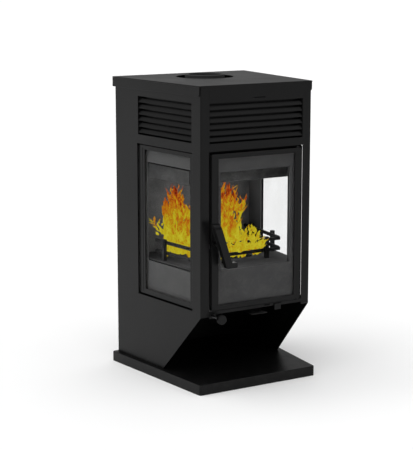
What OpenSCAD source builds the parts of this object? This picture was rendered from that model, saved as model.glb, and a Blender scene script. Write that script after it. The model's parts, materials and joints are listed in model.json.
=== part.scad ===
// Wood burning stove: a slim tapered steel casing, wider at the back, with a glass door, two side
// windows, convection louvres and an open log niche. Front faces -Y, +Z is up, millimetres.
// Inside the modules y = 0 is the front plane of the casing; place() moves it to the part's frame.

/* [Casing] */
// Height of the top plate above the floor
stove_h = 1100; // [1080:1:1160]
// Width of the casing at its front
front_w = 464.6; // [460:0.2:500]
// Width of the casing at its back
back_w = 572.4; // [560:0.2:600]
// Depth of the casing
depth = 534; // [530:1:560]
// Thickness of the casing sheet
sheet = 2.5; // [1.5:0.1:3]
// Outer radius of the front corner bends
bend_r = 4; // [3:0.5:6]
// Height where the front posts end above the niche
post_end_z = 278.5; // [270:0.5:282]
// Depth at which the slanted side cut meets the base
cut_back_y = 235; // [150:5:300]

/* [Base and cover] */
// Thickness of the base tray
base_h = 37.3; // [30:0.1:45]
// How far the base stands out at the front
base_front = 21.6; // [15:0.1:40]
// How far the base stands out at each side
base_side = 17.9; // [10:0.1:25]
// Corner radius of the base
base_r = 7; // [3:0.5:12]
// Depth of the cover's side flanges
flange_h = 37.6; // [25:0.1:50]
// Diameter of the hole around the flue collar
cover_hole_d = 215.6; // [190:0.2:240]

/* [Flue] */
// Outside diameter of the flue spigot
spigot_d = 148.5; // [148:0.1:149.5]
// Bore of the flue collar
flue_d = 128; // [110:1:132]
// Height of the spigot rim above the top plate
rim_proud = 9; // [5:1:40]
// Distance of the flue axis behind the front plane
flue_y = 361; // [345:1:370]

/* [Louvres] */
// Number of slats in each louvre
slat_count = 6; // [4:1:6]
// Lowest edge of the louvre openings
louvre_z0 = 897; // [890:1:910]
// Height of the louvre openings
louvre_h = 141; // [130:1:150]

/* [Door] */
// Width of the door
door_w = 377; // [370:1:380]
// Lowest edge of the door
door_z0 = 300; // [299:0.5:302]
// Highest edge of the door
door_z1 = 860; // [855:1:862]
// Width of the visible door glass
door_view_w = 324; // [310:1:328]
// How far the door face stands in front of the casing
door_proud = 4.6; // [3:0.1:8]
// Slant of the handle from the vertical, degrees
handle_slant = 18.5; // [0:0.5:22]

/* [Log guard] */
// Height of the guard posts
guard_h = 80; // [60:1:90]
// Length of each guard
guard_len = 284; // [240:1:284]

/* [Hidden] */
$fn = 48;

steel = "#2c2c2e";
inner_steel = "#3a3a3c";
cast_iron = "#333335";
brick = "#6f6a62";
rope = "#8a867e";
bright_steel = "#8d9094";
glass_tint = [0.55, 0.58, 0.6, 0.35];

taper = (back_w - front_w) / 2 / depth;
side_angle = atan(taper);
ca = cos(side_angle);
sa = sin(side_angle);
cover_t = 4;
cover_gap = 4.4;
cover_front_y = -1;
cover_back_y = depth + 12.5;
base_back_y = depth + 14.5;
post_edge = 198;
header_z0 = 869;
casing_top = stove_h - cover_t;
cheek = 3;

door_depth = 18.6;
door_t = 3;
door_hw = door_w / 2;
view_hw = door_view_w / 2;
view_z0 = 317.5;
view_z1 = 843;
door_face_y = -door_proud;
door_back_y = door_face_y + door_depth;
glass_t = 4;
glass_y = door_face_y + door_t + 0.3;
liner_y = glass_y + glass_t + 0.3;
liner_t = 1.5;
fire_hw = 147.5;
fire_z0 = 441;
fire_z1 = 793.5;
seal_gap = 0.6;

hinge_x = 178;
hinge_y = 6;
ear_t = 2.5;
pin_r = 4;
run_gap = 0.05;
shaft_x = -177.5;
shaft_z = 545;
shaft_r = 5;
bush_r = 7.5;
grip_front_y = -50;
grip_d = 20;
grip_w = 26.5;
grip_z0 = 458;
grip_z1 = 621;
grip_nose = 22;
cam_y = door_back_y + 0.5;
cam_t = 5;
cam_len = 26;
latch_turn = 70;

box_front_y = door_back_y + 4.3;
box_hw = 165;
box_t = 3;
box_bend_y = 62;
box_back_y = 473;
box_z0 = 285;
box_z1 = 850;
wall_off = 17;
brick_t = 30;
hearth_z = 435;
hearth_t = 4;
grate_hx = 90;
grate_y0 = 190;
grate_y1 = 330;
baffle_z = 740;
baffle_t = 52;
baffle_front_y = 100;

win_y0 = 50.6;
win_y1 = 392;
win_z0 = 295;
win_z1 = 863.5;
win_gap = 5;
win_recess = 6;
glass_view_y0 = 71;
glass_view_y1 = 352.5;
glass_view_z0 = 319.5;
glass_view_z1 = 843;
side_fire_y1 = 350;
side_fire_z0 = 428;
side_fire_z1 = 797;

rail_z0 = 285;
rail_z1 = 297.5;
knob_x = -165;
rod_z = 271;
rod_r = 4;
tongue_hw = 34;
tongue_z = 270;
tongue_t = 2.5;
tab_x0 = 80;
tab_x1 = 108;
notch_x0 = 28;
air_slots = [-110, -40, 50, 126];

handle_front = -grip_front_y;
front_y = -(base_back_y - handle_front) / 2;

function half_at(y) = front_w / 2 + taper * y;
function along(y, off = 0) = (y - off * sa) / ca;
function mitre(p, n1, n2, t) = p + t * (n1 + n2) / (1 + n1 * n2);
function arc(c, r, a0, a1, n) = [for (i = [0:n]) c + r * [cos(a0 + (a1 - a0) * i / n), sin(a0 + (a1 - a0) * i / n)]];

// Moves the casing's own coordinates into the part's frame
module place() { translate([0, front_y, 0]) children(); }

// Local frame of the right side panel: X runs back along it, Y points inwards, Z is up
module on_right() { translate([front_w / 2, 0, 0]) rotate([0, 0, 90 - side_angle]) children(); }
module on_left() { mirror([1, 0, 0]) on_right() children(); }

// Box given by its lowest and highest corners
module box(lo, hi) { translate(lo) cube(hi - lo); }

// Plan outline that follows the taper of the casing, grown sideways by grow
module plan(grow, y0, y1) {
    polygon([[-half_at(y0) - grow, y0], [half_at(y0) + grow, y0], [half_at(y1) + grow, y1], [-half_at(y1) - grow, y1]]);
}

// Rectangular ring standing in the XZ plane, its thickness along +Y
module ring(x0, x1, z0, z1, ix0, ix1, iz0, iz1, y0, y1) {
    difference() {
        box([x0, y0, z0], [x1, y1, z1]);
        box([ix0, y0 - 1, iz0], [ix1, y1 + 1, iz1]);
    }
}

// Cylinder along +Y
module rod_y(x, z, r, y0, y1) { translate([x, y0, z]) rotate([-90, 0, 0]) cylinder(h = y1 - y0, r = r); }

module tapered_slab(grow, y0, y1, r, z0, z1) {
    translate([0, 0, z0]) linear_extrude(z1 - z0) offset(r = r) offset(delta = -r) plan(grow, y0, y1);
}

module base_plate() {
    wall = 4;
    edge = 1.5;
    color(steel) place() difference() {
        hull() {
            tapered_slab(base_side, -base_front, base_back_y, base_r, 0, base_h - edge);
            tapered_slab(base_side - edge, edge - base_front, base_back_y - edge, base_r, base_h - 1, base_h);
        }
        tapered_slab(base_side - wall, wall - base_front, base_back_y - wall, base_r - 2, -1, base_h - wall);
    }
}

module levelling_feet() {
    pad_r = 18;
    color(bright_steel) place() for (x = [-190, 190], y = [45, 480]) translate([x, y, 0]) {
        cylinder(h = 6, r = pad_r);
        cylinder(h = base_h - 4, r = 5);
        translate([0, 0, base_h - 13]) cylinder(h = 9, r = 9, $fn = 6);
    }
}

// Folded sheet in plan: front post, bend and side wall
module side_sheet_plan() {
    s_dir = [sa, ca];
    inward = [-ca, sa];
    c = [front_w / 2 + (bend_r * sa - bend_r) / ca, bend_r];
    end = [front_w / 2, 0] + s_dir * depth / ca;
    polygon(concat(
        [[post_edge, 0]],
        arc(c, bend_r, -90, -side_angle, 8),
        [end, end + inward * sheet],
        arc(c, bend_r - sheet, -side_angle, -90, 6),
        [[post_edge, sheet]]
    ));
}

module side_window_cut(grow) {
    on_right() box([along(win_y0) - grow, -10, win_z0 - grow], [along(win_y1) + grow, 40, win_z1 + grow]);
}

module right_sheet() {
    difference() {
        translate([0, 0, base_h]) linear_extrude(casing_top - base_h) side_sheet_plan();
        translate([150, 0, 0]) rotate([90, 0, 90])
            linear_extrude(150) polygon([[-20, 0], [-20, post_end_z], [0, post_end_z], [cut_back_y, base_h], [cut_back_y, 0]]);
        side_window_cut(0);
        on_right() box([along(54), -10, louvre_z0], [along(385), 20, louvre_z0 + louvre_h]);
    }
}

module right_side_panel() { color(steel) place() right_sheet(); }
module left_side_panel() { color(steel) place() mirror([1, 0, 0]) right_sheet(); }

// Upper front panel between the posts: louvre opening, slot and rivet holes above it
module front_header() {
    slot_w = 49;
    color(steel) place() difference() {
        box([-post_edge, 0, header_z0], [post_edge, sheet, casing_top]);
        box([-post_edge + 2, -1, louvre_z0], [post_edge - 2, sheet + 1, louvre_z0 + louvre_h]);
        box([-15, -1, 1049], [slot_w - 15, sheet + 1, 1052]);
        for (x = [-110, 139]) rod_y(x, 1046, 2, -1, sheet + 1);
    }
}

module header_rivets() {
    color(bright_steel) place() for (x = [-110, 139]) {
        rod_y(x, 1046, 2, 0, sheet + 2);
        rod_y(x, 1046, 3, sheet, sheet + 1.5);
    }
}

// Lower front rail under the door, notched for the secondary air tab
module front_rail() {
    color(steel) place() difference() {
        box([-post_edge, 0, rail_z0], [post_edge, sheet, rail_z1]);
        box([notch_x0, -1, rail_z0 - 1], [tab_x1 + 2, sheet + 1, rail_z1 - 2.5]);
        box([hinge_x - 10, -1, rail_z1 - 1.5], [hinge_x + 10, sheet + 1, rail_z1 + 1]);
    }
}

// Back sheet with flanges folded forward along the side panels; it also closes the niche
module rear_panel() {
    lip = 25;
    inner = -sheet - 0.3;
    color(steel) place() difference() {
        translate([0, 0, base_h]) linear_extrude(casing_top - base_h) difference() {
            plan(inner, depth - lip, depth);
            plan(inner - sheet, depth - lip - 1, depth - sheet);
        }
        for (row = [0:3], x = [-150:60:150])
            box([x - 20, depth - 10, 930 + row * 25], [x + 20, depth + 5, 938 + row * 25]);
    }
}

module top_cover() {
    flange_t = 1.5;
    flange_y0 = cover_front_y + 2.5;
    round_r = 12;
    color(steel) place() difference() {
        union() {
            difference() {
                hull() {
                    translate([0, 0, casing_top]) linear_extrude(cover_t - 1) plan(cover_gap, cover_front_y, cover_back_y);
                    translate([0, 0, casing_top]) linear_extrude(cover_t) plan(cover_gap - 1, cover_front_y + 1, cover_back_y - 1);
                }
                translate([0, flue_y, casing_top - 1]) cylinder(h = cover_t + 2, d = cover_hole_d, $fn = 96);
            }
            translate([0, 0, stove_h - flange_h]) linear_extrude(flange_h - cover_t) difference() {
                plan(cover_gap, flange_y0, cover_back_y);
                plan(cover_gap - flange_t, flange_y0 - 1, cover_back_y - flange_t);
            }
        }
        // Rounded lower front corners of the side flanges
        translate([-350, flange_y0, stove_h - flange_h]) rotate([90, 0, 90]) linear_extrude(700) difference() {
            translate([-1, -1]) square(round_r + 1);
            translate([round_r, round_r]) circle(r = round_r);
        }
    }
}

// Slats leaning inwards at the top, held between two cheeks; X runs along the louvre, Y inwards
module louvre(width) {
    gap_share = 0.32;
    pitch = louvre_h / (slat_count + gap_share);
    slat_w = pitch * 0.72;
    lean = 30;
    slat_t = 1.6;
    y0 = sheet + 0.1;
    for (i = [0:slat_count - 1]) translate([0, 0.6, louvre_z0 + pitch * (i + gap_share)])
        rotate([-lean, 0, 0]) box([0, 0, 0], [width, slat_t, slat_w]);
    bar = 4;
    z1 = louvre_z0 + louvre_h;
    for (x = [-cheek, width]) box([x, y0, louvre_z0 - bar], [x + cheek, y0 + 15, z1 + bar]);
    for (z = [louvre_z0 - bar, z1]) box([0, y0, z], [width, y0 + 2, z + bar]);
}

module front_louvre() { color(steel) place() translate([-post_edge + 3, 0, 0]) louvre(2 * post_edge - 6); }
module side_louvre() { on_right() translate([along(54) + 0.5, 0, 0]) louvre(along(385) - along(54) - 1); }
module right_louvre() { color(steel) place() side_louvre(); }
module left_louvre() { color(steel) place() mirror([1, 0, 0]) side_louvre(); }

// Window frame: flat ring set back in the side opening, with a rim folded inwards and a flange behind the sheet
module window_frame() {
    rim = 9;
    flange = 10;
    flange_t = 2;
    x0 = along(win_y0 + win_gap);
    x1 = along(win_y1 - win_gap);
    z0 = win_z0 + win_gap;
    z1 = win_z1 - win_gap;
    on_right() difference() {
        union() {
            box([x0, win_recess, z0], [x1, win_recess + rim, z1]);
            box([x0 - flange, win_recess + rim - flange_t, z0 - flange], [x1 + flange, win_recess + rim, z1 + flange]);
        }
        box([along(glass_view_y0), 0, glass_view_z0], [along(glass_view_y1), 40, glass_view_z1]);
        box([x0 + sheet, win_recess + sheet, z0 + sheet], [x1 - sheet, 40, z1 - sheet]);
        // Groove along the wide rear stile
        box([along(glass_view_y1) + 12, win_recess - 1, z0 + 10], [along(glass_view_y1) + 14, win_recess + 1, z1 - 10]);
    }
}
module right_window_frame() { color(steel) place() window_frame(); }
module left_window_frame() { color(steel) place() mirror([1, 0, 0]) window_frame(); }

module window_glass() {
    y0 = win_recess + sheet;
    on_right() box([along(61), y0, 308], [along(363), y0 + glass_t, 853]);
}
module right_window_glass() { color(glass_tint) place() window_glass(); }
module left_window_glass() { color(glass_tint) place() mirror([1, 0, 0]) window_glass(); }

module window_seal() {
    y0 = win_recess + sheet + glass_t;
    on_right() difference() {
        box([along(61), y0, 308], [along(363), wall_off, 853]);
        box([along(69), y0 - 1, 316], [along(355), wall_off + 1, 845]);
    }
}
module window_seals() {
    color(rope) place() {
        window_seal();
        mirror([1, 0, 0]) window_seal();
    }
}

// Clips that hold the side glasses against the firebox, with their screws
module window_clip_set() {
    y0 = win_recess + sheet + glass_t;
    on_right() for (x = [along(364), along(374)], z = [380, 780]) {
        if (x < along(370)) box([x, y0 - 2, z - 9], [x + 16, wall_off, z + 9]);
        else translate([x, y0 - 4, z]) rotate([-90, 0, 0]) cylinder(h = 2, r = 4.5);
    }
}
module window_clips() {
    color(bright_steel) place() {
        window_clip_set();
        mirror([1, 0, 0]) window_clip_set();
    }
}

// Angles on the side panels that carry the firebox
module support_rail() {
    on_right() {
        box([along(95), sheet, box_z0 - 22], [along(455), sheet + 3, box_z0]);
        box([along(95), sheet + 3, box_z0 - 3], [along(455), wall_off + 14, box_z0]);
    }
}
module support_rails() {
    color(steel) place() {
        support_rail();
        mirror([1, 0, 0]) support_rail();
    }
}

module firebox_front() {
    color(inner_steel) place()
        ring(-box_hw, box_hw, box_z0 + box_t, box_z1, -fire_hw, fire_hw, fire_z0, fire_z1, box_front_y, box_front_y + box_t);
}

// Right side of the firebox in plan, t inside its outer face: front edge, splay corner, back edge
function wall_points(t, back_y = box_back_y) =
    let (
        x_off = -wall_off / ca,
        p0 = [box_hw, box_front_y],
        p1 = [half_at(box_bend_y) + x_off, box_bend_y],
        p2 = [half_at(back_y) + x_off - t / ca, back_y],
        d1 = (p1 - p0) / norm(p1 - p0),
        n1 = [-d1[1], d1[0]]
    ) [p0 + n1 * t, mitre(p1, n1, [-ca, sa], t), p2];
function flipped(points) = [for (i = [len(points) - 1:-1:0]) [-points[i][0], points[i][1]]];
function reversed(points) = [for (i = [len(points) - 1:-1:0]) points[i]];

// Firebox side wall: splayed front corner, then parallel to the casing, with the fire opening
module firebox_wall() {
    difference() {
        translate([0, 0, box_z0 + box_t]) linear_extrude(box_z1 - box_z0 - box_t)
            polygon(concat(wall_points(0), reversed(wall_points(box_t))));
        on_right() box([along(glass_view_y0 + 2), 0, side_fire_z0], [along(side_fire_y1), 60, side_fire_z1]);
    }
}
module firebox_right_wall() { color(inner_steel) place() difference() { firebox_wall(); front_wall_space(); } }
module firebox_left_wall() { color(inner_steel) place() mirror([1, 0, 0]) difference() { firebox_wall(); front_wall_space(); } }
module front_wall_space() { box([0, 0, 0], [box_hw, box_front_y + box_t, stove_h]); }

// Plan of the firebox, inset from its outer face
module firebox_plan(inset) {
    right = wall_points(inset, box_back_y + box_t);
    polygon(concat(right, flipped(right)));
}

module firebox_back() {
    x1 = half_at(box_back_y) - wall_off / ca;
    color(inner_steel) place() box([-x1, box_back_y, box_z0 + box_t], [x1, box_back_y + box_t, box_z1]);
}

module firebox_roof() {
    color(inner_steel) place() difference() {
        translate([0, 0, box_z1]) linear_extrude(box_t) firebox_plan(0);
        translate([0, flue_y, box_z1 - 1]) cylinder(h = box_t + 2, d = flue_d, $fn = 96);
    }
}

module firebox_bottom() {
    color(inner_steel) place() difference() {
        translate([0, 0, box_z0]) linear_extrude(box_t) firebox_plan(0);
        translate([knob_x, 150, box_z0 - 1]) cylinder(h = box_t + 2, r = 14);
        for (y = [90, 130, 170]) translate([0, y, box_z0 - 1]) cylinder(h = box_t + 2, r = 12);
    }
}

// Open-topped box under the grate that the ash pan stands in
module ash_chamber() {
    hx = 130;
    color(inner_steel) place() difference() {
        box([-hx, 60, box_z0 + box_t], [hx, 345, hearth_z - hearth_t]);
        box([-hx + box_t, 59, box_z0 + box_t - 1], [hx - box_t, 345 - box_t, hearth_z]);
    }
}

module ash_pan() {
    hx = 112;
    t = 1.5;
    y0 = 66;
    y1 = 332;
    z0 = box_z0 + box_t;
    color(steel) place() {
        difference() {
            box([-hx, y0, z0], [hx, y1, z0 + 60]);
            box([-hx + t, y0 + t, z0 + t], [hx - t, y1 - t, z0 + 61]);
        }
        box([-40, y0 - 14, z0 + 48], [40, y0, z0 + 50]);
        box([-40, y0 - 14, z0 + 42], [40, y0 - 12, z0 + 48]);
    }
}

module hearth_plate() {
    color(inner_steel) place() difference() {
        translate([0, 0, hearth_z - hearth_t]) linear_extrude(hearth_t) intersection() {
            firebox_plan(box_t + 0.8);
            translate([-400, box_front_y + box_t + 0.2]) square([800, box_back_y - box_front_y - box_t - 0.4]);
        }
        box([-grate_hx, grate_y0, 0], [grate_hx, grate_y1, 600]);
    }
}

// Cast grate with a step that rests on the hearth plate
module hearth_grate() {
    color(cast_iron) place() difference() {
        union() {
            box([-grate_hx + 1, grate_y0 + 1, hearth_z - 10], [grate_hx - 1, grate_y1 - 1, hearth_z + 4]);
            box([-grate_hx - 8, grate_y0 - 8, hearth_z], [grate_hx + 8, grate_y1 + 8, hearth_z + 4]);
        }
        for (x = [-75:15:75]) hull() for (y = [grate_y0 + 16, grate_y1 - 16])
            translate([x, y, hearth_z - 20]) cylinder(h = 40, r = 4, $fn = 16);
    }
}

module rear_brick() {
    x1 = half_at(box_back_y - brick_t) - wall_off / ca - box_t - 1.5;
    box([0.5, box_back_y - brick_t, hearth_z], [x1, box_back_y, baffle_z]);
}
module rear_brick_right() { color(brick) place() rear_brick(); }
module rear_brick_left() { color(brick) place() mirror([1, 0, 0]) rear_brick(); }

module baffle_plate() {
    y1 = box_back_y - 1;
    color(brick) place() translate([0, 0, baffle_z]) linear_extrude(baffle_t)
        plan(-wall_off / ca - box_t - 1.5, baffle_front_y, y1);
}

// Short angles on the firebox walls that carry the front of the baffle
module baffle_rest() {
    on_right() box([along(baffle_front_y + 20), wall_off + box_t, baffle_z - 3],
        [along(baffle_front_y + 70), wall_off + box_t + 16, baffle_z]);
}
module baffle_rests() {
    color(inner_steel) place() {
        baffle_rest();
        mirror([1, 0, 0]) baffle_rest();
    }
}

// Low fence: two posts in front of two rails; X runs along it, posts at near and far from the ends
module log_guard(near, far) {
    post = 14;
    rail_h = 12;
    for (x = [near, guard_len - far]) box([x - post / 2, 0, hearth_z], [x + post / 2, post, hearth_z + guard_h]);
    rail_t = 8;
    for (z = [21.5, 60.5]) box([0, post, hearth_z + z], [guard_len, post + rail_t, hearth_z + z + rail_h]);
}
module front_log_guard() { color(cast_iron) place() translate([-87, 123, 0]) log_guard(31, 66); }
module left_log_guard() {
    color(cast_iron) place() on_left() translate([along(64, 30), 30, 0]) log_guard(31, 69);
}
module right_log_guard() {
    color(cast_iron) place() on_right() translate([along(150, 30), 30, 0]) log_guard(72, 31);
}

module flue_collar() {
    body_r = spigot_d / 2 + 4;
    rim_z = stove_h + rim_proud;
    spigot_z = rim_z - 60;
    z0 = box_z1 + box_t;
    r = spigot_d / 2;
    ri = flue_d / 2;
    color(cast_iron) place() translate([0, flue_y, 0]) difference() {
        rotate_extrude($fn = 96) polygon([[ri, z0], [98, z0], [98, z0 + 8], [body_r + 1, z0 + 8], [body_r, z0 + 20],
            [body_r, spigot_z - 4], [r, spigot_z], [r, rim_z - 1.5], [r - 1.5, rim_z], [ri + 1.5, rim_z], [ri, rim_z - 1.5]]);
        for (a = [45:90:315]) rotate([0, 0, a]) translate([88, 0, z0 - 1]) cylinder(h = 12, r = 4.2);
    }
}

module collar_bolts() {
    z = box_z1 + box_t + 8;
    color(bright_steel) place() translate([0, flue_y, 0]) for (a = [45:90:315]) rotate([0, 0, a]) translate([88, 0, z]) {
        cylinder(h = 5, r = 7, $fn = 6);
        translate([0, 0, -8]) cylinder(h = 8, r = 4);
    }
}

// Folded shield that stands on the firebox inside the louvres, open at the back
module convection_shield() {
    t = 1.5;
    inset = 22;
    y0 = 30;
    y1 = 470;
    color(steel) place() translate([0, 0, box_z1 + box_t]) linear_extrude(casing_top - box_z1 - box_t - 8)
        difference() {
            plan(-inset, y0, y1);
            plan(-inset - t, y0 + t, y1 + 1);
        }
}

// Hinge ears on the casing above and below the door, joined by a strip behind the gap
module hinge_ear(z) {
    difference() {
        union() {
            translate([hinge_x, hinge_y, z]) cylinder(h = ear_t, r = 8);
            box([hinge_x, hinge_y + 3, z], [post_edge + 14, hinge_y + 8, z + ear_t]);
            box([post_edge + 2, sheet, z], [post_edge + 14, hinge_y + 8, z + ear_t]);
        }
        translate([hinge_x, hinge_y, z - 1]) cylinder(h = ear_t + 2, r = pin_r);
    }
}
module hinge_brackets() {
    strip_x0 = hinge_x + 15;
    color(steel) place() {
        box([strip_x0, hinge_y + 3, door_z0 - ear_t - 0.8], [post_edge + 4.2, hinge_y + 8, door_z1 + 2 + ear_t]);
        hinge_ear(door_z1 + 2);
        hinge_ear(door_z0 - ear_t - 0.8);
    }
}

module hinge_pins() {
    color(bright_steel) place() translate([hinge_x, hinge_y, 0]) {
        translate([0, 0, door_z1 - 12]) cylinder(h = 17, r = pin_r);
        translate([0, 0, door_z0 - ear_t - 0.8]) cylinder(h = 12 + ear_t + 0.8, r = pin_r);
    }
}

// Catch plate behind the left post that the latch cam turns behind
module latch_keeper() {
    y1 = door_back_y;
    color(bright_steel) place() {
        box([-220, y1 - 3, shaft_z - 13], [-192, y1, shaft_z + 13]);
        box([-220, sheet, shaft_z - 13], [-217, y1 - 3, shaft_z + 13]);
    }
}

// Hangers under the firebox that the primary air rod runs through
module air_rod_guides() {
    color(steel) place() for (y = [30, 215]) difference() {
        box([knob_x - 14, y, rod_z - 10], [knob_x + 14, y + 3, box_z0]);
        rod_y(knob_x, rod_z, rod_r + run_gap, y - 1, y + 4);
    }
}

// Air box under the firebox floor; the start-up air slide closes its three holes from below
module start_air_box() {
    z0 = tongue_z + tongue_t + 0.3;
    color(steel) place() difference() {
        box([-48, 70, tongue_z - 3], [48, 192, box_z0]);
        box([-46, 72, z0 + 2], [46, 190, box_z0 + 1]);
        box([-tongue_hw - 0.5, 60, tongue_z - 0.3], [tongue_hw + 0.5, 200, z0]);
        box([-tongue_hw + 6, 60, tongue_z - 4], [tongue_hw - 6, 200, z0]);
        for (y = [90, 130, 170]) translate([0, y, 0]) cylinder(h = box_z0, r = 10);
    }
}

// Duct behind the lower rail; the secondary air slide covers its slots
module secondary_air_duct() {
    y0 = sheet + 3.4;
    color(inner_steel) place() difference() {
        union() {
            box([-150, y0, rail_z0], [150, box_front_y, rail_z1]);
            for (x = [[-150, notch_x0 - 4], [tab_x1 + 4, 150]]) box([x[0], sheet, rail_z0], [x[1], y0, rail_z0 + 1]);
        }
        box([-148, y0 + 2, rail_z0 + 3], [148, box_front_y + 1, rail_z1 - 2]);
        for (x = air_slots) box([x - 12, y0 - 1, rail_z0 + 4.5], [x + 12, y0 + 3, rail_z1 - 4]);
    }
}

module door_frame() {
    lip = 3;
    color(steel) place() difference() {
        ring(-door_hw, door_hw, door_z0, door_z1, -view_hw, view_hw, view_z0, view_z1, door_face_y, door_back_y);
        box([-door_hw + lip, door_face_y + door_t, door_z0 + lip], [door_hw - lip, door_back_y + 1, door_z1 - lip]);
        rod_y(shaft_x, shaft_z, bush_r, door_face_y - 1, door_back_y);
        for (z = [door_z0 - 1, door_z1 - lip - 1]) translate([hinge_x, hinge_y, z]) cylinder(h = lip + 2, r = pin_r + 1);
    }
}

module door_glass() {
    color(glass_tint) place() box([-169, glass_y, 311], [169, glass_y + glass_t, 849]);
}

// Inner frame that clamps the glass and lines the fire opening
module door_inner_frame() {
    y1 = door_back_y - 2;
    lip = 1.5;
    color(inner_steel) place() {
        ring(-168, 168, 312, 848, -fire_hw, fire_hw, fire_z0, fire_z1, liner_y, liner_y + liner_t);
        ring(-fire_hw - lip, fire_hw + lip, fire_z0 - lip, fire_z1 + lip, -fire_hw, fire_hw, fire_z0, fire_z1, liner_y, y1);
    }
}

module door_rope_seal() {
    inner_x = 150.5;
    outer_x = 160.5;
    y0 = liner_y + liner_t;
    color(rope) place() ring(-outer_x, outer_x, fire_z0 - 13, fire_z1 + 13, -inner_x, inner_x, fire_z0 - 3, fire_z1 + 3,
        y0, box_front_y - seal_gap);
}

// Cap screws that hold the inner frame
module door_screws() {
    y0 = liner_y + liner_t;
    color(bright_steel) place() {
        for (x = [-164.3, 164.3], z = [340, 580, 820]) rod_y(x, z, 3.5, y0, y0 + 3);
        for (x = [-110, 0, 110], z = [330, 828]) rod_y(x, z, 3.5, y0, y0 + 3);
    }
}

module door_hinge_bushes() {
    color(bright_steel) place() for (z = [door_z0 + 3, door_z1 - 13]) translate([hinge_x, hinge_y, z]) difference() {
        cylinder(h = 10, r = 6.5);
        translate([0, 0, -1]) cylinder(h = 12, r = pin_r + run_gap);
    }
}

module handle_bush() {
    color(bright_steel) place() difference() {
        union() {
            rod_y(shaft_x, shaft_z, bush_r, door_face_y - 1, door_back_y);
            rod_y(shaft_x, shaft_z, 9.5, door_face_y - 3, door_face_y);
        }
        rod_y(shaft_x, shaft_z, shaft_r + run_gap, door_face_y - 4, door_back_y + 1);
    }
}

// Places children in the handle's frame: origin on the shaft axis, Z along the slanted grip
module on_handle() { translate([shaft_x, 0, shaft_z]) children(); }

// Slanted grip with level ends; its upper front edge is cut back to a nose
module handle_grip() {
    w = grip_w / cos(handle_slant);
    lean = tan(handle_slant);
    mid_x = 8.5;
    x_at = function(z) mid_x - (z - shaft_z) * lean;
    r = 3;
    z0 = grip_z0;
    z1 = grip_z1;
    color(steel) place() on_handle() difference() {
        translate([0, grip_front_y + grip_d, -shaft_z]) rotate([90, 0, 0]) linear_extrude(grip_d)
            offset(r = r) offset(delta = -r) polygon([[x_at(z0) - w / 2, z0], [x_at(z0) + w / 2 + 16, z0],
                [x_at(z0) + w / 2 + 16, z0 + 19], [x_at(z0 + 19) + w / 2, z0 + 19], [x_at(z1) + w / 2, z1], [x_at(z1) - w / 2, z1]]);
        translate([-120, 0, -shaft_z]) rotate([90, 0, 90]) linear_extrude(240) difference() {
            translate([grip_front_y - 1, z1 - grip_nose]) square([grip_d + 1, grip_nose + 1]);
            translate([grip_front_y + grip_d, z1 - grip_nose]) scale([grip_d / grip_nose, 1]) circle(r = grip_nose);
        }
        // Hollow back of the folded grip
        translate([0, grip_front_y + grip_d + 1, -shaft_z]) rotate([90, 0, 0]) linear_extrude(grip_d - 3)
            polygon([[x_at(z0 + 30) - w / 2 + 3.4, z0 + 30], [x_at(z0 + 30) + w / 2 - 3.4, z0 + 30],
                [x_at(shaft_z - 14) + w / 2 - 3.4, shaft_z - 14], [x_at(shaft_z - 14) - w / 2 + 3.4, shaft_z - 14]]);
    }
}

module handle_shaft() {
    color(bright_steel) place() {
        rod_y(shaft_x, shaft_z, shaft_r, grip_front_y + grip_d, cam_y + cam_t);
        rod_y(shaft_x, shaft_z, 8, grip_front_y + grip_d, grip_front_y + grip_d + 6);
    }
}

// Latch cam on the inner end of the shaft; turning the handle swings it behind the keeper
module latch_cam() {
    hub_r = 8;
    arm_w = 12;
    color(bright_steel) place() on_handle() rotate([0, -latch_turn, 0]) difference() {
        union() {
            rod_y(0, 0, hub_r, cam_y, cam_y + cam_t);
            box([-cam_len, cam_y, -arm_w / 2], [0, cam_y + cam_t, arm_w / 2]);
        }
        rod_y(0, 0, shaft_r, cam_y - 1, cam_y + cam_t + 1);
    }
}

module air_knob() {
    color(steel) place() translate([knob_x, -38, rod_z]) rotate([-90, 0, 0])
        rotate_extrude($fn = 64) polygon(concat([[0, 0]], arc([15, 3], 3, -90, 0, 5), arc([15, 12], 3, 0, 90, 5), [[6, 15], [6, 18], [0, 18]]));
}

module air_rod() { color(bright_steel) place() rod_y(knob_x, rod_z, rod_r, -20, 265); }

module air_damper() {
    color(inner_steel) place() {
        box([knob_x - 22, 120, box_z0 - 3.5], [knob_x + 22, 172, box_z0 - 0.8]);
        difference() {
            box([knob_x - 3, 130, rod_z], [knob_x + 3, 160, box_z0 - 3.5]);
            rod_y(knob_x, rod_z, rod_r, 129, 161);
        }
    }
}

// Flat slide valve with a rolled pull at its front end
module start_air_slide() {
    pull_y = -22;
    color(steel) place() difference() {
        union() {
            box([-tongue_hw, pull_y, tongue_z], [tongue_hw, 210, tongue_z + tongue_t]);
            translate([-tongue_hw, pull_y, tongue_z + tongue_t / 2]) rotate([0, 90, 0]) cylinder(h = 2 * tongue_hw, r = 2.2);
        }
        for (y = [110, 150, 190]) translate([0, y, tongue_z - 1]) cylinder(h = 5, r = 9);
    }
}

// Slotted strip behind the rail, with the tab that hangs through the notch
module secondary_air_slide() {
    y0 = sheet + 0.6;
    color(steel) place() {
        difference() {
            box([-135, y0, rail_z0 + 1.5], [tab_x1 + 36, y0 + 2.4, rail_z1 - 1.5]);
            for (x = air_slots) box([x - 12, y0 - 1, rail_z0 + 4.5], [x + 12, y0 + 4, rail_z1 - 4]);
        }
        box([tab_x0, -2, rail_z0 + 2.5], [tab_x1, y0 + 1, rail_z1 - 5]);
        box([tab_x0, -2, 270], [tab_x1, 0.5, rail_z1 - 5]);
    }
}

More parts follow.
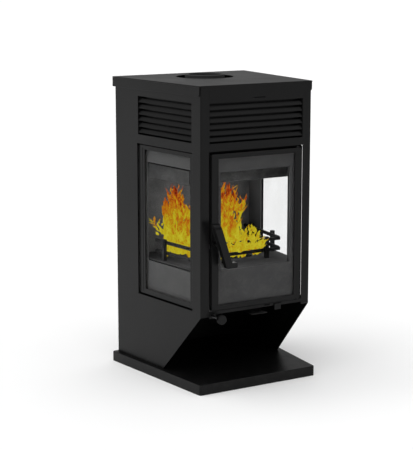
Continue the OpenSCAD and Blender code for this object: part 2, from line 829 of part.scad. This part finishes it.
base_plate();
levelling_feet();
left_side_panel();
right_side_panel();
front_header();
front_rail();
rear_panel();
top_cover();
header_rivets();
front_louvre();
left_louvre();
right_louvre();
left_window_frame();
right_window_frame();
left_window_glass();
right_window_glass();
window_seals();
window_clips();
support_rails();
firebox_front();
firebox_left_wall();
firebox_right_wall();
firebox_back();
firebox_roof();
firebox_bottom();
ash_chamber();
ash_pan();
hearth_plate();
hearth_grate();
rear_brick_left();
rear_brick_right();
baffle_plate();
baffle_rests();
front_log_guard();
left_log_guard();
right_log_guard();
flue_collar();
collar_bolts();
convection_shield();
hinge_brackets();
hinge_pins();
latch_keeper();
air_rod_guides();
start_air_box();
secondary_air_duct();
door_frame();
door_glass();
door_inner_frame();
door_rope_seal();
door_screws();
door_hinge_bushes();
handle_bush();
handle_grip();
handle_shaft();
latch_cam();
air_knob();
air_rod();
air_damper();
start_air_slide();
secondary_air_slide();
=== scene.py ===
import json
import math
import random

import bmesh
import bpy
from mathutils import Matrix, Vector, noise


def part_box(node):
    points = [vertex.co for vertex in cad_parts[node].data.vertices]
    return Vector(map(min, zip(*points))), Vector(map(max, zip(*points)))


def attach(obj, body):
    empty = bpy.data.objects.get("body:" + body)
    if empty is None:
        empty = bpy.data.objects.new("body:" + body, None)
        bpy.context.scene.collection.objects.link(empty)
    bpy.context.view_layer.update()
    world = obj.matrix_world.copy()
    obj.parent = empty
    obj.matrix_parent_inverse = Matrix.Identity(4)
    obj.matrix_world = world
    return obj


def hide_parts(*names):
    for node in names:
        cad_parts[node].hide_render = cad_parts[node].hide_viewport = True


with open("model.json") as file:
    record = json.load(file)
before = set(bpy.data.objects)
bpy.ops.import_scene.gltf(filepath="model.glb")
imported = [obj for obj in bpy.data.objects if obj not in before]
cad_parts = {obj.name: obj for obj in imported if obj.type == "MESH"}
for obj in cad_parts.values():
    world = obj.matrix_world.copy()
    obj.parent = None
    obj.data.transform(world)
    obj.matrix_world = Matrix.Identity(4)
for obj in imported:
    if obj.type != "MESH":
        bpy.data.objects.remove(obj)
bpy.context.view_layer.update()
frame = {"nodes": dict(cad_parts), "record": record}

NODES = frame["nodes"]
SLOT_OF = {part["node"]: part["material_slot"] for part in frame["record"]["subparts"]}
MM = 0.001


# ---------------------------------------------------------------- camera

def add_camera():
    """Camera at the photograph's viewing angle: turned to the left of the door, looking a little down."""
    turn = math.radians(-30.969)
    drop = math.radians(10.633)
    back = Vector((math.sin(turn) * math.cos(drop), -math.cos(turn) * math.cos(drop), math.sin(drop)))
    right = Vector((math.cos(turn), math.sin(turn), 0))
    up = back.cross(right)
    data = bpy.data.cameras.new("camera")
    data.lens = 110.65
    data.sensor_width = 36
    data.clip_end = 500
    camera = bpy.data.objects.new("camera", data)
    camera.matrix_world = Matrix.Translation((-2.6615, -4.33635, 1.5076)) @ Matrix((right, up, back)).transposed().to_4x4()
    bpy.context.collection.objects.link(camera)
    bpy.context.scene.camera = camera


add_camera()


# ---------------------------------------------------------------- material building blocks

class Shade:
    """A node material under construction, with short calls for the nodes that the finishes share."""

    def __init__(self, name):
        self.material = bpy.data.materials.new(name)
        self.material.use_nodes = True
        self.tree = self.material.node_tree
        self.tree.nodes.clear()
        self.output = self.tree.nodes.new("ShaderNodeOutputMaterial")
        self.where = self.tree.nodes.new("ShaderNodeTexCoord").outputs["Object"]

    def node(self, kind, **settings):
        made = self.tree.nodes.new(kind)
        for key, value in settings.items():
            setattr(made, key, value)
        return made

    def link(self, source, target):
        self.tree.links.new(source, target)

    def put(self, socket, value):
        """A socket takes either a number or colour, or another node's output."""
        if isinstance(value, bpy.types.NodeSocket):
            self.link(value, socket)
        elif isinstance(value, tuple) and len(value) == 3 and socket.type == "RGBA":
            socket.default_value = (*value, 1)
        else:
            socket.default_value = value

    def stretched(self, scale, turn=(0, 0, 0)):
        mapping = self.node("ShaderNodeMapping")
        mapping.inputs["Scale"].default_value = scale
        mapping.inputs["Rotation"].default_value = turn
        self.link(self.where, mapping.inputs["Vector"])
        return mapping.outputs["Vector"]

    def noise(self, scale, detail=3, rough=0.55, warp=0, where=None):
        made = self.node("ShaderNodeTexNoise")
        self.link(where or self.where, made.inputs["Vector"])
        made.inputs["Scale"].default_value = scale
        made.inputs["Detail"].default_value = detail
        made.inputs["Roughness"].default_value = rough
        made.inputs["Distortion"].default_value = warp
        return made.outputs["Fac"]

    def cells(self, scale, feature="F1", where=None):
        made = self.node("ShaderNodeTexVoronoi", feature=feature)
        self.link(where or self.where, made.inputs["Vector"])
        made.inputs["Scale"].default_value = scale
        return made.outputs["Distance"]

    def span(self, value, low, high, to_low=0.0, to_high=1.0):
        made = self.node("ShaderNodeMapRange")
        for name, number in (("Value", value), ("From Min", low), ("From Max", high),
                             ("To Min", to_low), ("To Max", to_high)):
            self.put(made.inputs[name], number)
        return made.outputs["Result"]

    def math(self, operation, a, b=0.0):
        made = self.node("ShaderNodeMath", operation=operation)
        self.put(made.inputs[0], a)
        self.put(made.inputs[1], b)
        return made.outputs[0]

    def ramp(self, value, stops):
        made = self.node("ShaderNodeValToRGB")
        self.put(made.inputs["Fac"], value)
        steps = made.color_ramp.elements
        while len(steps) < len(stops):
            steps.new(1.0)
        for step, (place, colour) in zip(steps, stops):
            step.position = place
            step.color = (*colour, 1)
        return made.outputs["Color"]

    def blend(self, share, first, second):
        made = self.node("ShaderNodeMix", data_type="RGBA")
        self.put(made.inputs["Factor"], share)
        self.put(made.inputs["A"], first)
        self.put(made.inputs["B"], second)
        return made.outputs["Result"]

    def height(self):
        """Height above the floor in metres."""
        made = self.node("ShaderNodeSeparateXYZ")
        self.link(self.where, made.inputs["Vector"])
        return made.outputs["Z"]

    def bump(self, value, depth, strength=1.0, below=None):
        made = self.node("ShaderNodeBump")
        self.put(made.inputs["Height"], value)
        made.inputs["Distance"].default_value = depth
        made.inputs["Strength"].default_value = strength
        if below:
            self.link(below, made.inputs["Normal"])
        return made.outputs["Normal"]

    def surface(self, **inputs):
        shader = self.node("ShaderNodeBsdfPrincipled")
        for name, value in inputs.items():
            self.put(shader.inputs[name.replace("_", " ").title().replace("Ior", "IOR")], value)
        self.link(shader.outputs["BSDF"], self.output.inputs["Surface"])
        return self.material


def stove_paint(name, dark, light, rough, gloss):
    """Sprayed heat-resistant paint: a fine dry grain over a faint cloudiness, with a little floor dust."""
    s = Shade(name)
    cloud = s.noise(5.0, detail=4, rough=0.6)
    grain = s.noise(1400.0, detail=2)
    dust = s.math("MULTIPLY", s.span(s.height(), 0.16, 0.03), s.span(s.noise(38.0, detail=5, rough=0.7), 0.5, 0.75))
    tone = s.math("ADD", s.math("MULTIPLY", cloud, 0.7), s.math("MULTIPLY", grain, 0.3))
    colour = s.ramp(tone, [(0.3, dark), (0.7, light)])
    colour = s.blend(s.math("MULTIPLY", dust, 0.05), colour, (0.16, 0.155, 0.15))
    roughness = s.math("ADD", s.span(cloud, 0.3, 0.7, rough - 0.05, rough + 0.05), s.math("MULTIPLY", dust, 0.1))
    orange_peel = s.bump(s.noise(420.0, detail=1), 0.00006, 0.5)
    return s.surface(base_color=colour, roughness=roughness, specular_ior_level=gloss,
                     normal=s.bump(grain, 0.00005, 0.6, below=orange_peel))


def firebox_paint(name, dark, light):
    """The same paint on the firebox: dulled by heat, with ash film on it low down."""
    s = Shade(name)
    cloud = s.noise(9.0, detail=5, rough=0.65)
    soot = s.noise(30.0, detail=4, rough=0.7, warp=0.6)
    ash = s.math("MULTIPLY", s.span(s.height(), 0.56, 0.43), s.span(soot, 0.48, 0.72))
    colour = s.ramp(cloud, [(0.3, dark), (0.7, light)])
    colour = s.blend(s.math("MULTIPLY", ash, 0.25), colour, (0.13, 0.125, 0.12))
    return s.surface(base_color=colour, roughness=s.span(cloud, 0.3, 0.7, 0.6, 0.78),
                     specular_ior_level=0.3, normal=s.bump(s.noise(700.0, detail=3), 0.00008, 0.7))


def cast_iron():
    """Sand-cast iron: a pitted, slightly wavy skin, darkest in its hollows."""
    s = Shade("cast_iron")
    sand = s.noise(650.0, detail=4, rough=0.65)
    wave = s.noise(45.0, detail=2)
    pits = s.span(s.cells(260.0), 0.0, 0.35)
    colour = s.ramp(s.math("MULTIPLY", sand, pits), [(0.15, (0.010, 0.010, 0.010)), (0.6, (0.021, 0.021, 0.021))])
    skin = s.bump(sand, 0.00025, 0.8, below=s.bump(wave, 0.0012, 0.35))
    return s.surface(base_color=colour, roughness=s.span(sand, 0.3, 0.7, 0.55, 0.75), specular_ior_level=0.35,
                     normal=skin)


def ceramic_glass():
    """Clear glass-ceramic: a faint grey tint, smoke film in cloudy patches, a reflection at grazing angles."""
    s = Shade("ceramic_glass")
    smoke = s.span(s.noise(7.0, detail=4, rough=0.6, warp=0.4), 0.35, 0.75)
    tint = s.ramp(smoke, [(0.0, (0.955, 0.957, 0.958)), (1.0, (0.925, 0.926, 0.923))])
    clear = s.node("ShaderNodeBsdfTransparent")
    s.link(tint, clear.inputs["Color"])
    shine = s.node("ShaderNodeBsdfGlossy")
    shine.inputs["Roughness"].default_value = 0.06
    shine.inputs["Color"].default_value = (0.9, 0.92, 0.93, 1)
    outside = s.math("SUBTRACT", 1.0, s.node("ShaderNodeNewGeometry").outputs["Backfacing"])
    grazing = s.span(s.node("ShaderNodeLayerWeight").outputs["Facing"], 0.62, 1.0, 0.0, 0.4)
    mixed = s.node("ShaderNodeMixShader")
    s.link(s.math("MULTIPLY", grazing, outside), mixed.inputs["Fac"])
    s.link(clear.outputs["BSDF"], mixed.inputs[1])
    s.link(shine.outputs["BSDF"], mixed.inputs[2])
    s.link(mixed.outputs["Shader"], s.output.inputs["Surface"])
    return s.material


def firebrick():
    """Pressed vermiculite: flaky grains in a porous board, sooted towards the top."""
    s = Shade("firebrick")
    flakes = s.cells(240.0)
    blotch = s.noise(11.0, detail=5, rough=0.65)
    soot = s.math("ADD", s.span(s.height(), 0.45, 0.78, 0.05, 0.75), s.span(blotch, 0.35, 0.7, -0.1, 0.35))
    board = s.ramp(flakes, [(0.05, (0.125, 0.123, 0.120)), (0.45, (0.190, 0.187, 0.183)), (0.8, (0.240, 0.236, 0.231))])
    colour = s.blend(soot, board, (0.050, 0.050, 0.050))
    pressed = s.bump(flakes, 0.0005, 0.7, below=s.bump(s.noise(60.0, detail=3), 0.0008, 0.4))
    return s.surface(base_color=colour, roughness=s.span(blotch, 0.3, 0.7, 0.82, 0.95), specular_ior_level=0.25,
                     normal=pressed)


def sealing_rope():
    """Knitted glass-fibre rope: fine fibres over the strands, greyed by use."""
    s = Shade("sealing_rope")
    fibre = s.noise(900.0, detail=3, rough=0.7)
    patch = s.noise(16.0, detail=3)
    colour = s.ramp(s.math("ADD", s.math("MULTIPLY", fibre, 0.5), s.math("MULTIPLY", patch, 0.5)),
                    [(0.35, (0.045, 0.044, 0.042)), (0.65, (0.12, 0.117, 0.11))])
    return s.surface(base_color=colour, roughness=s.span(fibre, 0.3, 0.7, 0.8, 0.95), specular_ior_level=0.2,
                     normal=s.bump(fibre, 0.0004, 0.8))


def zinc_steel():
    """Zinc-plated and turned steel: fine machining lines, dulled in patches."""
    s = Shade("zinc_steel")
    lines = s.noise(500.0, detail=2, where=s.stretched((1, 1, 7)))
    patch = s.noise(60.0, detail=4, rough=0.65)
    colour = s.ramp(patch, [(0.3, (0.17, 0.172, 0.178)), (0.7, (0.30, 0.302, 0.308))])
    return s.surface(base_color=colour, metallic=1.0, roughness=s.span(patch, 0.3, 0.7, 0.34, 0.5),
                     normal=s.bump(lines, 0.00005, 0.5))


def flame_glow():
    """Flame: a streaky yellow core low down, then orange and red veins that thin out towards the tips."""
    s = Shade("flame")
    drawn = s.stretched((1, 1, 0.5))
    swirl = s.noise(34.0, detail=6, rough=0.66, warp=1.4, where=drawn)
    strand = s.noise(120.0, detail=5, rough=0.62, warp=1.2, where=drawn)
    rise = s.span(s.height(), 0.50, 0.71)
    heat = s.math("SUBTRACT", s.span(swirl, 0.34, 0.64), s.math("MULTIPLY", rise, 0.72))
    colour = s.ramp(s.math("ADD", s.math("MULTIPLY", heat, 0.6), 0.4),
                    [(0.12, (0.13, 0.012, 0.006)), (0.24, (0.34, 0.035, 0.006)), (0.38, (0.46, 0.120, 0.008)),
                     (0.52, (0.47, 0.230, 0.008)), (0.66, (0.50, 0.400, 0.012)), (1.0, (0.58, 0.520, 0.030))])
    glow = s.node("ShaderNodeEmission")
    glow.inputs["Strength"].default_value = 1.0
    s.link(colour, glow.inputs["Color"])
    gap = s.node("ShaderNodeBsdfTransparent")
    vein = s.math("SUBTRACT", 1.0, s.math("MULTIPLY", s.math("ABSOLUTE", s.math("SUBTRACT", strand, 0.5)), 9.0))
    full = s.math("ADD", vein, s.math("SUBTRACT", 0.95, s.math("MULTIPLY", rise, 0.95)))
    mixed = s.node("ShaderNodeMixShader")
    s.link(s.span(full, 0.42, 0.62), mixed.inputs["Fac"])
    s.link(gap.outputs["BSDF"], mixed.inputs[1])
    s.link(glow.outputs["Emission"], mixed.inputs[2])
    s.link(mixed.outputs["Shader"], s.output.inputs["Surface"])
    return s.material


def studio_floor():
    """Plain pale floor with the faintest unevenness."""
    s = Shade("studio_floor")
    cloud = s.noise(0.8, detail=2)
    return s.surface(base_color=s.ramp(cloud, [(0.3, (0.935, 0.935, 0.935)), (0.7, (0.955, 0.955, 0.955))]),
                     roughness=s.span(cloud, 0.3, 0.7, 0.85, 0.95), specular_ior_level=0.1)


FINISHES = {
    "black_paint": stove_paint("black_paint", (0.0030, 0.0030, 0.0031), (0.0042, 0.0042, 0.0043), 0.33, 0.155),
    "firebox_paint": firebox_paint("firebox_paint", (0.047, 0.047, 0.048), (0.068, 0.067, 0.067)),
    # wall_paint is painted light: the firebox paint again, about 1.7 times lighter, so the firebox side walls look more
    # lit than the rest of the firebox.
    "wall_paint": firebox_paint("wall_paint", (0.079, 0.079, 0.080), (0.112, 0.111, 0.111)),
    "cast_iron": cast_iron(),
    "ceramic_glass": ceramic_glass(),
    "firebrick": firebrick(),
    "sealing_rope": sealing_rope(),
    "zinc_steel": zinc_steel(),
}


# ---------------------------------------------------------------- CAD nodes: finish and softened edges

EDGE_RADIUS = {
    "black_paint": 0.0006, "firebox_paint": 0.0006, "wall_paint": 0.0006, "cast_iron": 0.0010, "firebrick": 0.0016,
    "ceramic_glass": 0.0005, "zinc_steel": 0.0003,
}


def soften_edges(piece, radius):
    weld = piece.modifiers.new("weld", "WELD")
    weld.merge_threshold = 0.00001
    flat = piece.modifiers.new("flat", "DECIMATE")
    flat.decimate_type = "DISSOLVE"
    flat.angle_limit = math.radians(0.6)
    edge = piece.modifiers.new("edge", "BEVEL")
    edge.width = radius
    edge.segments = 2
    edge.limit_method = "ANGLE"
    edge.angle_limit = math.radians(35)
    edge.harden_normals = True


def finish_nodes():
    for name, piece in NODES.items():
        slot = SLOT_OF[name]
        piece.data.materials.clear()
        piece.data.materials.append(FINISHES[slot])
        if slot in EDGE_RADIUS:
            soften_edges(piece, EDGE_RADIUS[slot])


finish_nodes()


# ---------------------------------------------------------------- mesh building blocks

def piece_from(name, verts, faces, finish, body, smooth=True):
    mesh = bpy.data.meshes.new(name)
    mesh.from_pydata([tuple(v) for v in verts], [], faces)
    build = bmesh.new()
    build.from_mesh(mesh)
    bmesh.ops.recalc_face_normals(build, faces=build.faces)
    build.to_mesh(mesh)
    build.free()
    mesh.materials.append(finish)
    for face in mesh.polygons:
        face.use_smooth = smooth
    piece = bpy.data.objects.new(name, mesh)
    bpy.context.collection.objects.link(piece)
    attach(piece, body)
    return piece


def tube(rings, closed):
    """Verts and faces of a tube through rings of equal size; open tubes get fan caps."""
    count = len(rings[0])
    verts = [v for ring in rings for v in ring]
    faces = []
    for i in range(len(rings) if closed else len(rings) - 1):
        here, there = i * count, ((i + 1) % len(rings)) * count
        for k in range(count):
            faces.append((here + k, here + (k + 1) % count, there + (k + 1) % count, there + k))
    if not closed:
        for start in (0, (len(rings) - 1) * count):
            verts.append(sum((Vector(v) for v in verts[start:start + count]), Vector()) / count)
            faces += [(start + k, start + (k + 1) % count, len(verts) - 1) for k in range(count)]
    return verts, faces


def join(parts):
    """One list of verts and faces from several."""
    verts, faces = [], []
    for part_verts, part_faces in parts:
        faces += [tuple(i + len(verts) for i in face) for face in part_faces]
        verts += part_verts
    return verts, faces


# ---------------------------------------------------------------- door seal and screws

def rounded_loop(x0, x1, z0, z1, radius, step):
    """Points every step or so along a rectangle with rounded corners in the XZ plane, with outward normals."""
    corners = ((x1 - radius, z0 + radius, -90), (x1 - radius, z1 - radius, 0),
               (x0 + radius, z1 - radius, 90), (x0 + radius, z0 + radius, 180))
    turns = max(3, round(math.pi / 2 * radius / step))
    corner_points = []
    for x, z, start in corners:
        for i in range(turns + 1):
            angle = math.radians(start + 90 * i / turns)
            way = (math.cos(angle), math.sin(angle))
            corner_points.append(((x + radius * way[0], z + radius * way[1]), way))
    loop = []
    for here, there in zip(corner_points, corner_points[1:] + corner_points[:1]):
        gap = math.dist(here[0], there[0])
        count = max(1, round(gap / step)) if here[1] == there[1] else 1
        for i in range(count):
            t = i / count
            loop.append(((here[0][0] + (there[0][0] - here[0][0]) * t, here[0][1] + (there[0][1] - here[0][1]) * t),
                         here[1]))
    return loop


def add_door_rope():
    """Twisted glass-fibre rope in place of the plain seal, pressed to an oval by its channel."""
    low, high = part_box("door_rope_seal")
    width = 10 * MM
    half = (width / 2, (high[1] - low[1]) / 2)
    middle_y = (low[1] + high[1]) / 2
    loop = rounded_loop(low[0] + half[0], high[0] - half[0], low[2] + half[0], high[2] - half[0], 10 * MM, 2.2 * MM)
    strands = 3
    twists = round(len(loop) / 9)
    rings = []
    for i, ((x, z), way) in enumerate(loop):
        ring = []
        for k in range(18):
            angle = 2 * math.pi * k / 18
            lobe = abs(math.cos(strands / 2 * (angle - 2 * math.pi * twists * i / len(loop) / strands)))
            reach = 0.86 + 0.14 * lobe
            aside = half[0] * reach * math.cos(angle)
            ring.append((x + way[0] * aside, middle_y + half[1] * reach * math.sin(angle), z + way[1] * aside))
        rings.append(ring)
    verts, faces = tube(rings, closed=True)
    rope = piece_from("door_rope", verts, faces, FINISHES["sealing_rope"], "door")
    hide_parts("door_rope_seal")


def cap_screw(x, y0, z, radius, height, sides=24):
    """Domed cap screw along Y with a hexagon socket; y0 is its foot, the head points to +Y."""
    verts, faces = [], []
    profile = [(1.0, 0.0), (1.0, 0.55), (0.94, 0.8), (0.78, 0.95), (0.60, 1.0)]
    for reach, rise in profile:
        for k in range(sides):
            angle = 2 * math.pi * k / sides
            verts.append((x + radius * reach * math.cos(angle), y0 + height * rise, z + radius * reach * math.sin(angle)))
    for rise in (1.0, 0.35):
        for k in range(sides):
            angle = 2 * math.pi * k / sides
            flat = math.cos(math.pi / 6) / math.cos((angle % (math.pi / 3)) - math.pi / 6)
            reach = 0.5 * flat
            verts.append((x + radius * reach * math.cos(angle), y0 + height * rise, z + radius * reach * math.sin(angle)))
    rows = len(profile) + 2
    for row in range(rows - 1):
        for k in range(sides):
            here, there = row * sides, (row + 1) * sides
            faces.append((here + k, here + (k + 1) % sides, there + (k + 1) % sides, there + k))
    faces.append(tuple(range((rows - 1) * sides, rows * sides)))
    faces.append(tuple(reversed(range(sides))))
    return verts, faces


def add_door_screws():
    low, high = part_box("door_screws")
    radius = 3.5 * MM
    places = [(x, z) for x in (low[0] + radius, high[0] - radius) for z in (340 * MM, 580 * MM, 820 * MM)]
    places += [(x, z) for x in (-110 * MM, 0, 110 * MM) for z in (low[2] + radius, high[2] - radius)]
    verts, faces = join([cap_screw(x, low[1], z, radius, high[1] - low[1]) for x, z in places])
    screws = piece_from("door_cap_screws", verts, faces, FINISHES["black_paint"], "door",
                        smooth=False)
    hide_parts("door_screws")


add_door_rope()
add_door_screws()


# ---------------------------------------------------------------- flames

FIRE_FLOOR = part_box("hearth_plate")[1][2]
BAFFLE_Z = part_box("baffle_plate")[0][2]
FRONT_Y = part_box("left_side_panel")[0][1]


def tongue(foot, height, width, lean, seed, sides=8, rings=18):
    """One lick of flame: a thin tube that swells, curls as it rises and ends in a point."""
    made = []
    facing = noise.noise(Vector((seed * 1.7, 0.3, 0.9))) * math.pi
    for i in range(rings):
        t = i / (rings - 1)
        swell = (0.25 + 2.2 * t) * (1 - t) ** 1.1
        radius = width / 2 * max(swell, 0.01)
        sway = noise.noise_vector(Vector((seed * 3.1, 7.7 * seed, t * 2.2))) * height * 0.45 * t
        middle = Vector(foot) + Vector((lean[0] * t ** 1.5 + sway.x, lean[1] * t ** 1.5 + sway.y * 0.5, height * t))
        ring = []
        for k in range(sides):
            angle = 2 * math.pi * k / sides
            turned = angle + facing + 2.2 * t
            out = Vector((math.cos(turned), math.sin(turned) * 0.6, 0)) * (1 if k % 2 else 0.75)
            ripple = noise.noise(Vector((math.cos(angle) * 1.4 + seed, math.sin(angle) * 1.4, t * 7 + seed)))
            ring.append(middle + out * radius * (1 + 0.9 * ripple))
        made.append(ring)
    return tube(made, closed=False)


def flame(name, seed, count, centre, spread, height, width, lean=(0, 0), waist=1.0, top=0.35, base=4):
    """Licks stacked up a column around centre (x, y behind the front plane) from the fire bed; millimetres.

    waist and top say how wide the column is at two thirds of its height and at its tip, base how far
    above the fire bed it starts.
    """
    draw = random.Random(seed)
    parts = []
    for i in range(count):
        t = draw.uniform(0, 1) ** 1.25
        angle = draw.uniform(0, 2 * math.pi)
        far = math.sqrt(draw.uniform(0, 1))
        room = 1 + (waist - 1) * t / 0.66 if t < 0.66 else waist + (top - waist) * (t - 0.66) / 0.34
        aside = (far * math.cos(angle) * room, far * math.sin(angle) * room)
        tall = draw.uniform(0.18, 0.42) * height * (1 - 0.45 * t)
        wide = width * draw.uniform(0.45, 1) * (1 - 0.5 * t)
        rise = min(t * height * (1 - 0.35 * far * t), height - tall)
        foot = ((centre[0] + spread[0] * aside[0] + lean[0] * t) * MM,
                FRONT_Y + (centre[1] + spread[1] * aside[1] + lean[1] * t) * MM, FIRE_FLOOR + (base + rise) * MM)
        bend = ((lean[0] * 0.2 + 16 * aside[0]) * MM, (lean[1] * 0.2 + 6 * aside[1]) * MM)
        parts.append(tongue(foot, tall * MM, wide * MM, bend, seed * 10 + i))
    verts, faces = join(parts)
    piece = piece_from(name, verts, faces, GLOW, "stove")
    piece.visible_diffuse = False
    piece.visible_glossy = False
    return piece


GLOW = flame_glow()


def add_flames():
    flame("flame_left", 5, 150, (-146, 306), (54, 34), 276, 38, lean=(-12, 12), waist=1.0, top=0.5)
    flame("flame_main", 3, 170, (30, 286), (80, 34), 276, 40, lean=(8, 0), waist=1.05, top=0.4)
    flame("flame_corner", 21, 24, (-194, 348), (17, 22), 78, 22, lean=(-22, 18), waist=1.0, top=0.9, base=80)
    flame("flame_right", 8, 46, (116, 232), (40, 32), 112, 34, lean=(4, -4), waist=0.9, top=0.5)
    flame("flame_bed", 11, 120, (-16, 236), (168, 60), 84, 44, waist=1.0, top=0.8)
    flame("flame_front", 17, 110, (26, 170), (106, 14), 92, 38, lean=(0, -58), waist=1.0, top=0.9)
    flame("flame_over_rail", 29, 70, (18, 114), (98, 5), 54, 30, waist=1.0, top=0.9, base=44)


add_flames()


# ---------------------------------------------------------------- studio

def add_floor():
    half = 40.0
    mesh = bpy.data.meshes.new("studio_floor")
    mesh.from_pydata([(-half, -half, 0), (half, -half, 0), (half, half, 0), (-half, half, 0)], [], [(0, 1, 2, 3)])
    mesh.materials.append(studio_floor())
    floor = bpy.data.objects.new("studio_floor", mesh)
    bpy.context.collection.objects.link(floor)


def add_world():
    """White backdrop for the camera, a dimmer surround for the light that falls on the stove."""
    world = bpy.data.worlds.new("studio")
    bpy.context.scene.world = world
    world.use_nodes = True
    tree = world.node_tree
    tree.nodes.clear()
    seen = tree.nodes.new("ShaderNodeBackground")
    seen.inputs["Color"].default_value = (1, 1, 1, 1)
    seen.inputs["Strength"].default_value = 1.05
    fill = tree.nodes.new("ShaderNodeBackground")
    fill.inputs["Color"].default_value = (1, 1, 1, 1)
    fill.inputs["Strength"].default_value = 0.325
    path = tree.nodes.new("ShaderNodeLightPath")
    mixed = tree.nodes.new("ShaderNodeMixShader")
    output = tree.nodes.new("ShaderNodeOutputWorld")
    tree.links.new(path.outputs["Is Camera Ray"], mixed.inputs["Fac"])
    tree.links.new(fill.outputs["Background"], mixed.inputs[1])
    tree.links.new(seen.outputs["Background"], mixed.inputs[2])
    tree.links.new(mixed.outputs["Shader"], output.inputs["Surface"])


def add_sun(name, strength, spread, azimuth, elevation):
    """Soft directional light that comes from azimuth (0 = front, 90 = left) at the given elevation."""
    data = bpy.data.lights.new(name, "SUN")
    data.energy = strength
    data.angle = math.radians(spread)
    light = bpy.data.objects.new(name, data)
    side, rise = math.radians(azimuth), math.radians(elevation)
    source = Vector((-math.sin(side) * math.cos(rise), -math.cos(side) * math.cos(rise), math.sin(rise)))
    light.rotation_euler = source.to_track_quat("Z", "Y").to_euler()
    bpy.context.collection.objects.link(light)


def add_firebox_glow():
    """Soft even light inside the firebox, where the flames themselves give none."""
    data = bpy.data.lights.new("firebox_glow", "POINT")
    data.energy = 1.5
    data.shadow_soft_size = 0.09
    light = bpy.data.objects.new("firebox_glow", data)
    light.location = (0, FRONT_Y + 210 * MM, 0.66)
    bpy.context.collection.objects.link(light)


add_floor()
add_world()
add_firebox_glow()
add_sun("key", 0.98, 70, 105, 62)
add_sun("top", 1.7, 120, 60, 88)
bpy.context.scene.view_settings.view_transform = "Standard"
